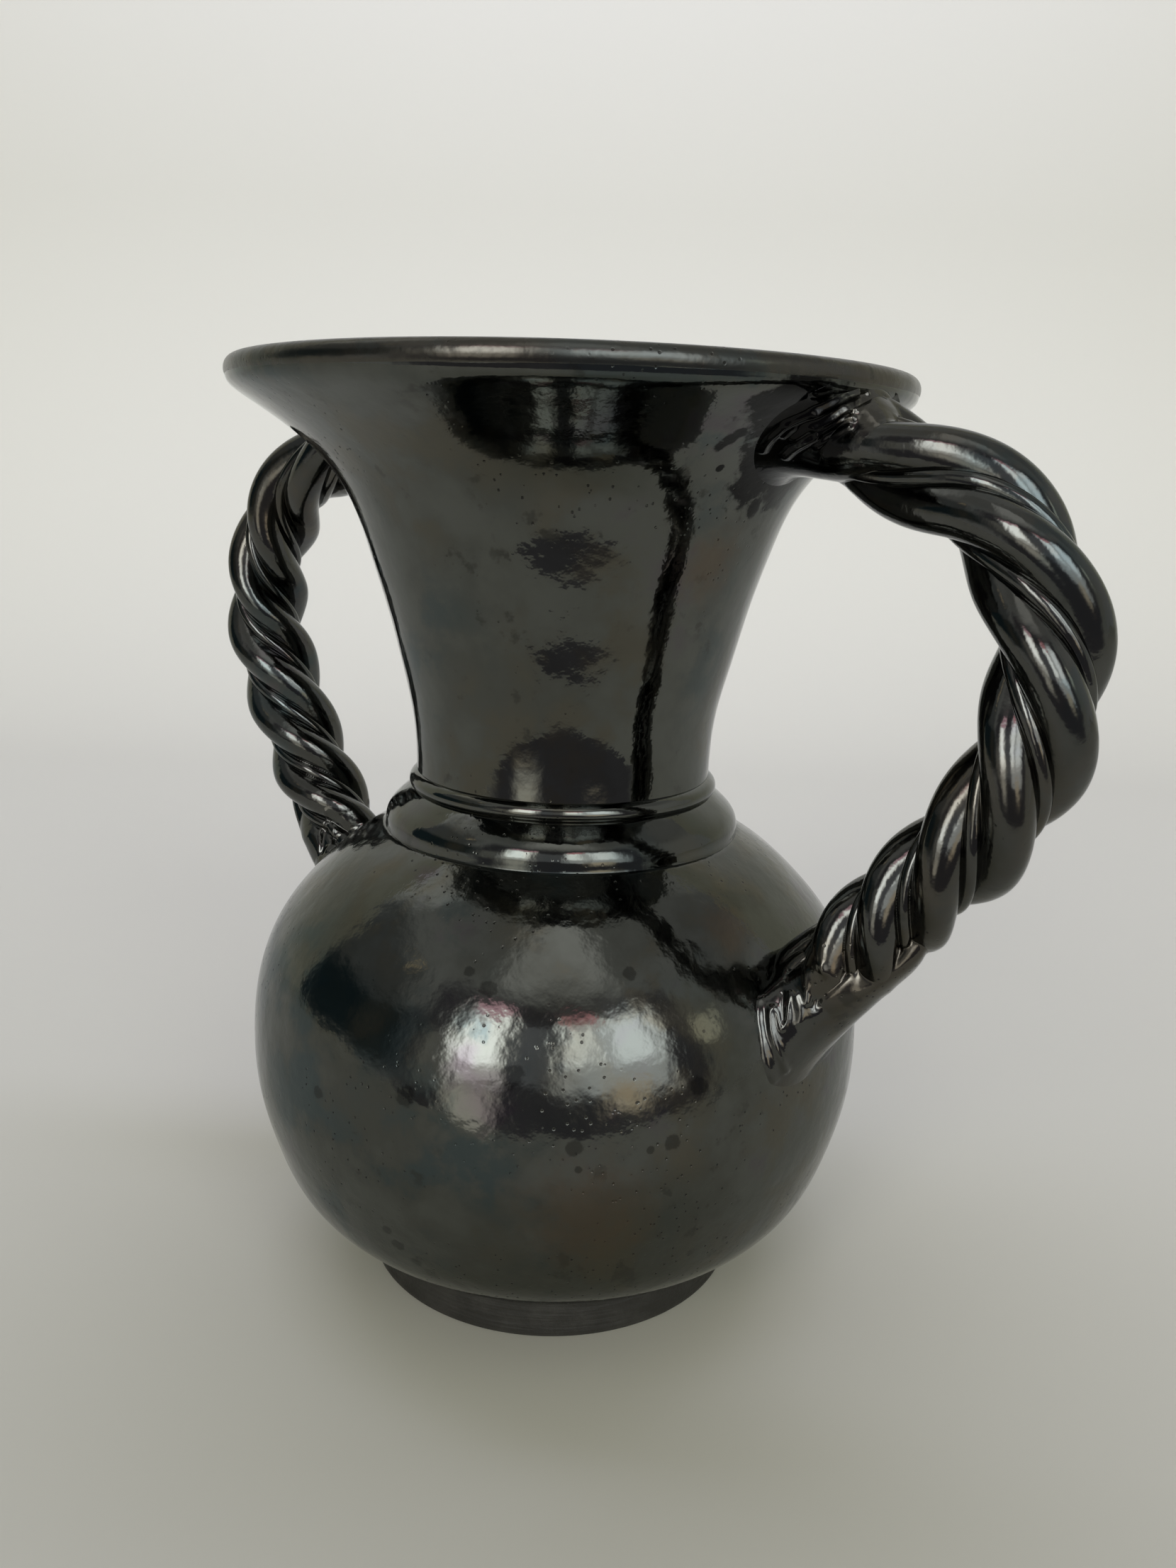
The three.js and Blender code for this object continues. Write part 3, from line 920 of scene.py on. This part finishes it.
# A joint is a sleeve over the rope and a fillet from the rope's end to the wall. Both follow the rope's
# outline, with its grooves filled to a level that rises where the clay is smeared: the larger of outline and
# level, rounded by soften. The fillet first runs straight on, and then turns onto the wall along a quadratic
# curve: (1 - t)^2 outline + 2 t (1 - t) bend + t^2 edge. The bend is the rope's foot on the wall for a hollow
# fillet, and the pad's share moves it out over the edge. Near is -1 or 1 for the side that its settings call
# -90. The far side has the same seams, a little higher.
def jointSurface(end, rope, shape, wall, near):
    common = jointSettings
    angle = np.linspace(-math.pi, math.pi, common["columns"], endpoint=False)
    last = 0 if end == "upper" else len(rope["turn"]) - 1
    inward = 1 if end == "upper" else -1
    direction = rope["tangent"][last] * -inward
    smearStart = roundRope(shape["smear"], -near * angle)

    def outline(turn, radius, run):
        unfilled = 1 - np.clip((smearStart - run) / shape["fade"], 0, 1)
        level = common["full"] - (common["full"] - common["empty"]) * unfilled**3
        grooved = ropeOutline(angle - turn, ropeSettings)
        overlap = np.maximum(1 - np.abs(level - grooved) / common["soften"], 0)
        filled = np.maximum(level, grooved) + overlap**2 * common["soften"] / 4
        sunk = smoothStep((run - common["hiddenFrom"]) / common["hiddenRun"])
        under = common["hidden"] * ((1 + common["raised"]) * sunk - common["raised"])
        return radius * filled - under * smoothStep((grooved - level) / common["soften"] + 0.5)

    def onSection(middle, across, reach):
        ring = middle + (np.cos(angle) * reach)[:, None] * across
        ring[:, 1] += np.sin(angle) * reach
        return ring

    rings = []
    stationsEach = (len(rope["turn"]) - 1) / rope["length"]
    for run in np.linspace(shape["overlap"], 0, common["sleeveRows"]):
        middle, across, radius, turn = ropeAt(rope, last + inward * run * stationsEach)
        rings.append(onSection(middle, across, outline(turn, radius, run)))
    centre, normal, radius = rope["centre"][last], rope["normal"][last], rope["radius"][last]
    reach = roundRope(shape["edge"], -near * angle)
    edge = ontoWall(onSection(centre, normal, reach), direction, wall, common["sink"])
    rim = onSection(centre, normal, np.full_like(angle, radius))
    foot = ontoWall(rim, direction, wall, 0)
    depth = (foot - rim) @ direction
    straight = 1 - shape["turnIn"]
    lifted = edge - shape["turnIn"] * depth[:, None] * direction
    bend = foot + roundRope(shape["pad"], -near * angle)[:, None] * (lifted - foot)
    for share in np.linspace(0, 1, common["filletRows"])[1:]:
        reach = outline(rope["turn"][last] + shape["drift"] * share, radius, -share * depth)
        top = onSection(centre, normal, reach)
        t = max(share - straight, 0) / shape["turnIn"]
        top = top + (min(share, straight) * depth)[:, None] * direction
        rings.append((1 - t) ** 2 * top + 2 * t * (1 - t) * bend + t**2 * edge)
    grid = np.array(rings)
    rise = seamRise(grid * [1, -near, 1], shape["seams"])
    rise = rise + seamRise(grid * [1, near, 1] - [0, 0, common["farLift"]], shape["seams"])
    return grid + rise[..., None] * gridNormals(grid, centre, direction)


def makeJoint(side, end, settings, rope, wall):
    grid = jointSurface(end, rope, jointSettings[end], wall, settings["near"])
    name = f"{side}{end.capitalize()}Joint"
    mesh = gridMesh(name, facing(grid, settings["facing"]))
    addPiece(name, mesh, ropeGlaze, f"{side}_handle_{end}_joint")


def makeHandle(side, settings):
    rope = ropeStations(settings, ropeSettings["stations"])
    makeRope(side, settings, rope, ropeSettings)
    neckWall = smoothCurve(neckSettings["outside"], np.linspace(0, 1, 300))
    bodyWall = smoothCurve(bodySettings["outside"], np.linspace(0, 1, 300))
    makeJoint(side, "upper", settings, rope, neckWall)
    makeJoint(side, "lower", settings, rope, bodyWall)


for side, settings in handleSettings.items():
    makeHandle(side, settings)
print("handles made")

# Studio: a pale sweep that rises behind the vase, in a white tent that is open towards the camera. The
# opening shows as a dark field in the glaze, with two windows in it. Patches are given by their direction
# from the vase, in degrees: aside from the direction of the camera, and up from the level.
studioSettings = {
    "floorColour": rgb(0.494, 0.487, 0.402),
    "floorReach": 3.0,
    "frontEdge": 0.262,  # glossy surfaces don't see the floor past this, so that the dark room shows in them
    "sweepStart": 0.55,
    "sweepRadius": 0.45,
    "sweepTop": 2.2,
    "sweepRows": 24,
    "tent": rgb(0.48, 0.48, 0.46),
    "patches": [
        {"aside": 0, "up": 76, "width": 240, "height": 42, "soft": 8, "colour": rgb(0.38, 0.38, 0.36)},
        {"aside": 0, "up": 73, "width": 62, "height": 36, "soft": 10, "colour": rgb(1.05, 1.04, 1.0)},
        {"aside": -128, "up": 50, "width": 46, "height": 30, "soft": 10, "colour": rgb(0.92, 0.93, 0.90)},
        {"aside": -90, "up": 38, "width": 48, "height": 20, "soft": 6, "colour": rgb(0.21, 0.22, 0.22)},
        {"aside": -76, "up": 45, "width": 6, "height": 5, "soft": 2, "colour": rgb(0.9, 0.75, 0.52)},
        {"aside": 100, "up": 50, "width": 44, "height": 24, "soft": 8, "colour": rgb(0.33, 0.33, 0.32)},
        {"aside": 5, "up": -20, "width": 122, "height": 136, "soft": 7, "colour": rgb(0.132, 0.126, 0.138)},
        {"aside": -84, "up": 12, "width": 56, "height": 32, "soft": 7, "colour": rgb(0.036, 0.058, 0.066)},
        {"aside": -70, "up": 12, "width": 14, "height": 26, "soft": 7, "colour": rgb(0.115, 0.112, 0.095)},
        {"aside": -46, "up": 8, "width": 10, "height": 30, "soft": 5, "colour": rgb(0.50, 0.49, 0.44)},
        {"aside": -8, "up": 18, "width": 18, "height": 34, "soft": 4, "colour": rgb(0.41, 0.42, 0.45)},
        {"aside": 61, "up": 30, "width": 14, "height": 40, "soft": 6, "colour": rgb(0.42, 0.44, 0.42)},
        {"aside": 64, "up": -4, "width": 16, "height": 40, "soft": 6, "colour": rgb(0.45, 0.45, 0.40)},
        {"aside": -28, "up": 19, "width": 20, "height": 42, "soft": 4, "colour": rgb(2.4, 2.35, 2.2)},
        {"aside": -28, "up": 24, "width": 14, "height": 30, "soft": 5, "colour": rgb(6.4, 6.5, 6.4)},
        {"aside": -29, "up": -11, "width": 17, "height": 18, "soft": 6, "colour": rgb(1.6, 1.52, 1.34)},
        {"aside": 22, "up": 18, "width": 40, "height": 43, "soft": 4, "colour": rgb(1.75, 1.8, 1.8)},
        {"aside": 9, "up": 26, "width": 11, "height": 28, "soft": 4, "colour": rgb(4.9, 5.1, 5.1)},
        {"aside": 29, "up": 27, "width": 17, "height": 28, "soft": 5, "colour": rgb(3.9, 4.1, 4.2)},
        {"aside": 25, "up": -5, "width": 15, "height": 14, "soft": 5, "colour": rgb(1.75, 1.5, 1.15)},
        {"aside": 60, "up": 22, "width": 7, "height": 13, "soft": 3, "colour": rgb(1.6, 1.65, 1.4)},
        {"aside": -27, "up": 41, "width": 18, "height": 5, "soft": 2, "colour": rgb(2.2, 1.3, 1.5)},
        {"aside": 11, "up": 40, "width": 14, "height": 6, "soft": 2, "colour": rgb(2.2, 1.0, 1.1)},
    ],
    "sweepLight": {
        "back": 0.25,
        "height": 1.25,
        "aimBack": 0.95,
        "aimHeight": 0.45,
        "width": 1.6,
        "depth": 0.5,
        "brightness": 4.15,
        "colour": (0.98, 1.0, 1.50),
    },
}


# The floor's shape along the view: flat, then a quarter circle up, then straight up.
def makeFloor(settings):
    material = bpy.data.materials.new("paleFloor")
    paint = Paint(material)
    surface = paint.node("ShaderNodeBsdfDiffuse", None, {"Color": settings["floorColour"]})
    paint.node("ShaderNodeOutputMaterial", None, {"Surface": surface})
    quarter = np.linspace(0, math.pi / 2, settings["sweepRows"])
    start, radius = settings["sweepStart"], settings["sweepRadius"]
    sweepDepth = np.r_[-settings["frontEdge"], start + radius * np.sin(quarter), start + radius]
    sweepRise = np.r_[0, radius * (1 - np.cos(quarter)), settings["sweepTop"]]
    apronDepth = np.array([-settings["floorReach"], -settings["frontEdge"]])
    azimuth = math.radians(cameraSettings["azimuth"])
    across = np.array([-settings["floorReach"], settings["floorReach"]])[None, :]
    for name, depth, rise in (("paleFloor", sweepDepth, sweepRise), ("paleApron", apronDepth, np.zeros(2))):
        x = -math.sin(azimuth) * depth[:, None] + math.cos(azimuth) * across
        y = math.cos(azimuth) * depth[:, None] + math.sin(azimuth) * across
        grid = np.stack([x, y, rise[:, None] + 0 * x], -1).reshape(-1, 3)
        k = np.arange(len(depth) - 1) * 2
        quads = np.stack([k, k + 1, k + 3, k + 2], -1)
        mesh = bpy.data.meshes.new(name)
        mesh.from_pydata(grid.tolist(), [], quads.tolist())
        mesh.shade_smooth()
        mesh.materials.append(material)
        floor = bpy.data.objects.new(name, mesh)
        bpy.context.scene.collection.objects.link(floor)
        floor.visible_glossy = name == "paleFloor"


# A wide lamp over the sweep that lifts the backdrop. The glaze doesn't mirror it.
def makeSweepLight(settings):
    azimuth = math.radians(cameraSettings["azimuth"])
    behind = np.array([-math.sin(azimuth), math.cos(azimuth), 0])
    place = behind * settings["back"] + np.array([0, 0, settings["height"]])
    aim = behind * settings["aimBack"] + np.array([0, 0, settings["aimHeight"]])
    back = (place - aim) / np.linalg.norm(place - aim)
    side = np.array([math.cos(azimuth), math.sin(azimuth), 0])
    top = np.cross(back, side)
    lamp = bpy.data.lights.new("sweepLight", "AREA")
    lamp.shape = "RECTANGLE"
    lamp.size = settings["width"]
    lamp.size_y = settings["depth"]
    lamp.color = settings["colour"]
    lamp.energy = settings["brightness"] * math.pi * settings["width"] * settings["depth"]
    holder = bpy.data.objects.new("sweepLight", lamp)
    bpy.context.scene.collection.objects.link(holder)
    holder.matrix_world = posed(side, top, back, place)
    holder.visible_glossy = False


# The room by direction: each patch is a soft-edged rectangle of directions.
def makeRoom(settings):
    world = bpy.data.worlds.new("room")
    bpy.context.scene.world = world
    paint = Paint(world)
    azimuth = math.radians(cameraSettings["azimuth"])
    direction = paint.node("ShaderNodeTexCoord", output="Generated")

    def along(vector):
        values = {0: direction, 1: vector}
        return paint.node("ShaderNodeVectorMath", {"operation": "DOT_PRODUCT"}, values, "Value")

    towards = along((math.sin(azimuth), -math.cos(azimuth), 0))
    sideways = along((math.cos(azimuth), math.sin(azimuth), 0))
    degrees = 180 / math.pi
    aside = paint.node("ShaderNodeMath", {"operation": "ARCTAN2"}, {0: sideways, 1: towards}) * degrees
    up = paint.node("ShaderNodeMath", {"operation": "ARCSINE"}, {0: paint.parts(direction)[2]}) * degrees
    colour = settings["tent"]
    for patch in settings["patches"]:
        away = paint.node("ShaderNodeMath", {"operation": "ABSOLUTE"}, {0: aside - patch["aside"]})
        above = paint.node("ShaderNodeMath", {"operation": "ABSOLUTE"}, {0: up - patch["up"]})
        across = paint.step(away, patch["width"] / 2 + patch["soft"], patch["width"] / 2 - patch["soft"])
        high = paint.step(above, patch["height"] / 2 + patch["soft"], patch["height"] / 2 - patch["soft"])
        colour = paint.mixed(across * high, colour, patch["colour"])
    seen = paint.node("ShaderNodeLightPath", output="Is Camera Ray")
    colour = paint.mixed(seen, colour, settings["floorColour"])
    surface = paint.node("ShaderNodeBackground", None, {"Color": colour, "Strength": 1.0})
    paint.node("ShaderNodeOutputWorld", None, {"Surface": surface})


makeFloor(studioSettings)
makeSweepLight(studioSettings["sweepLight"])
makeRoom(studioSettings)
bpy.context.scene.view_settings.view_transform = "Standard"
print("studio lit")
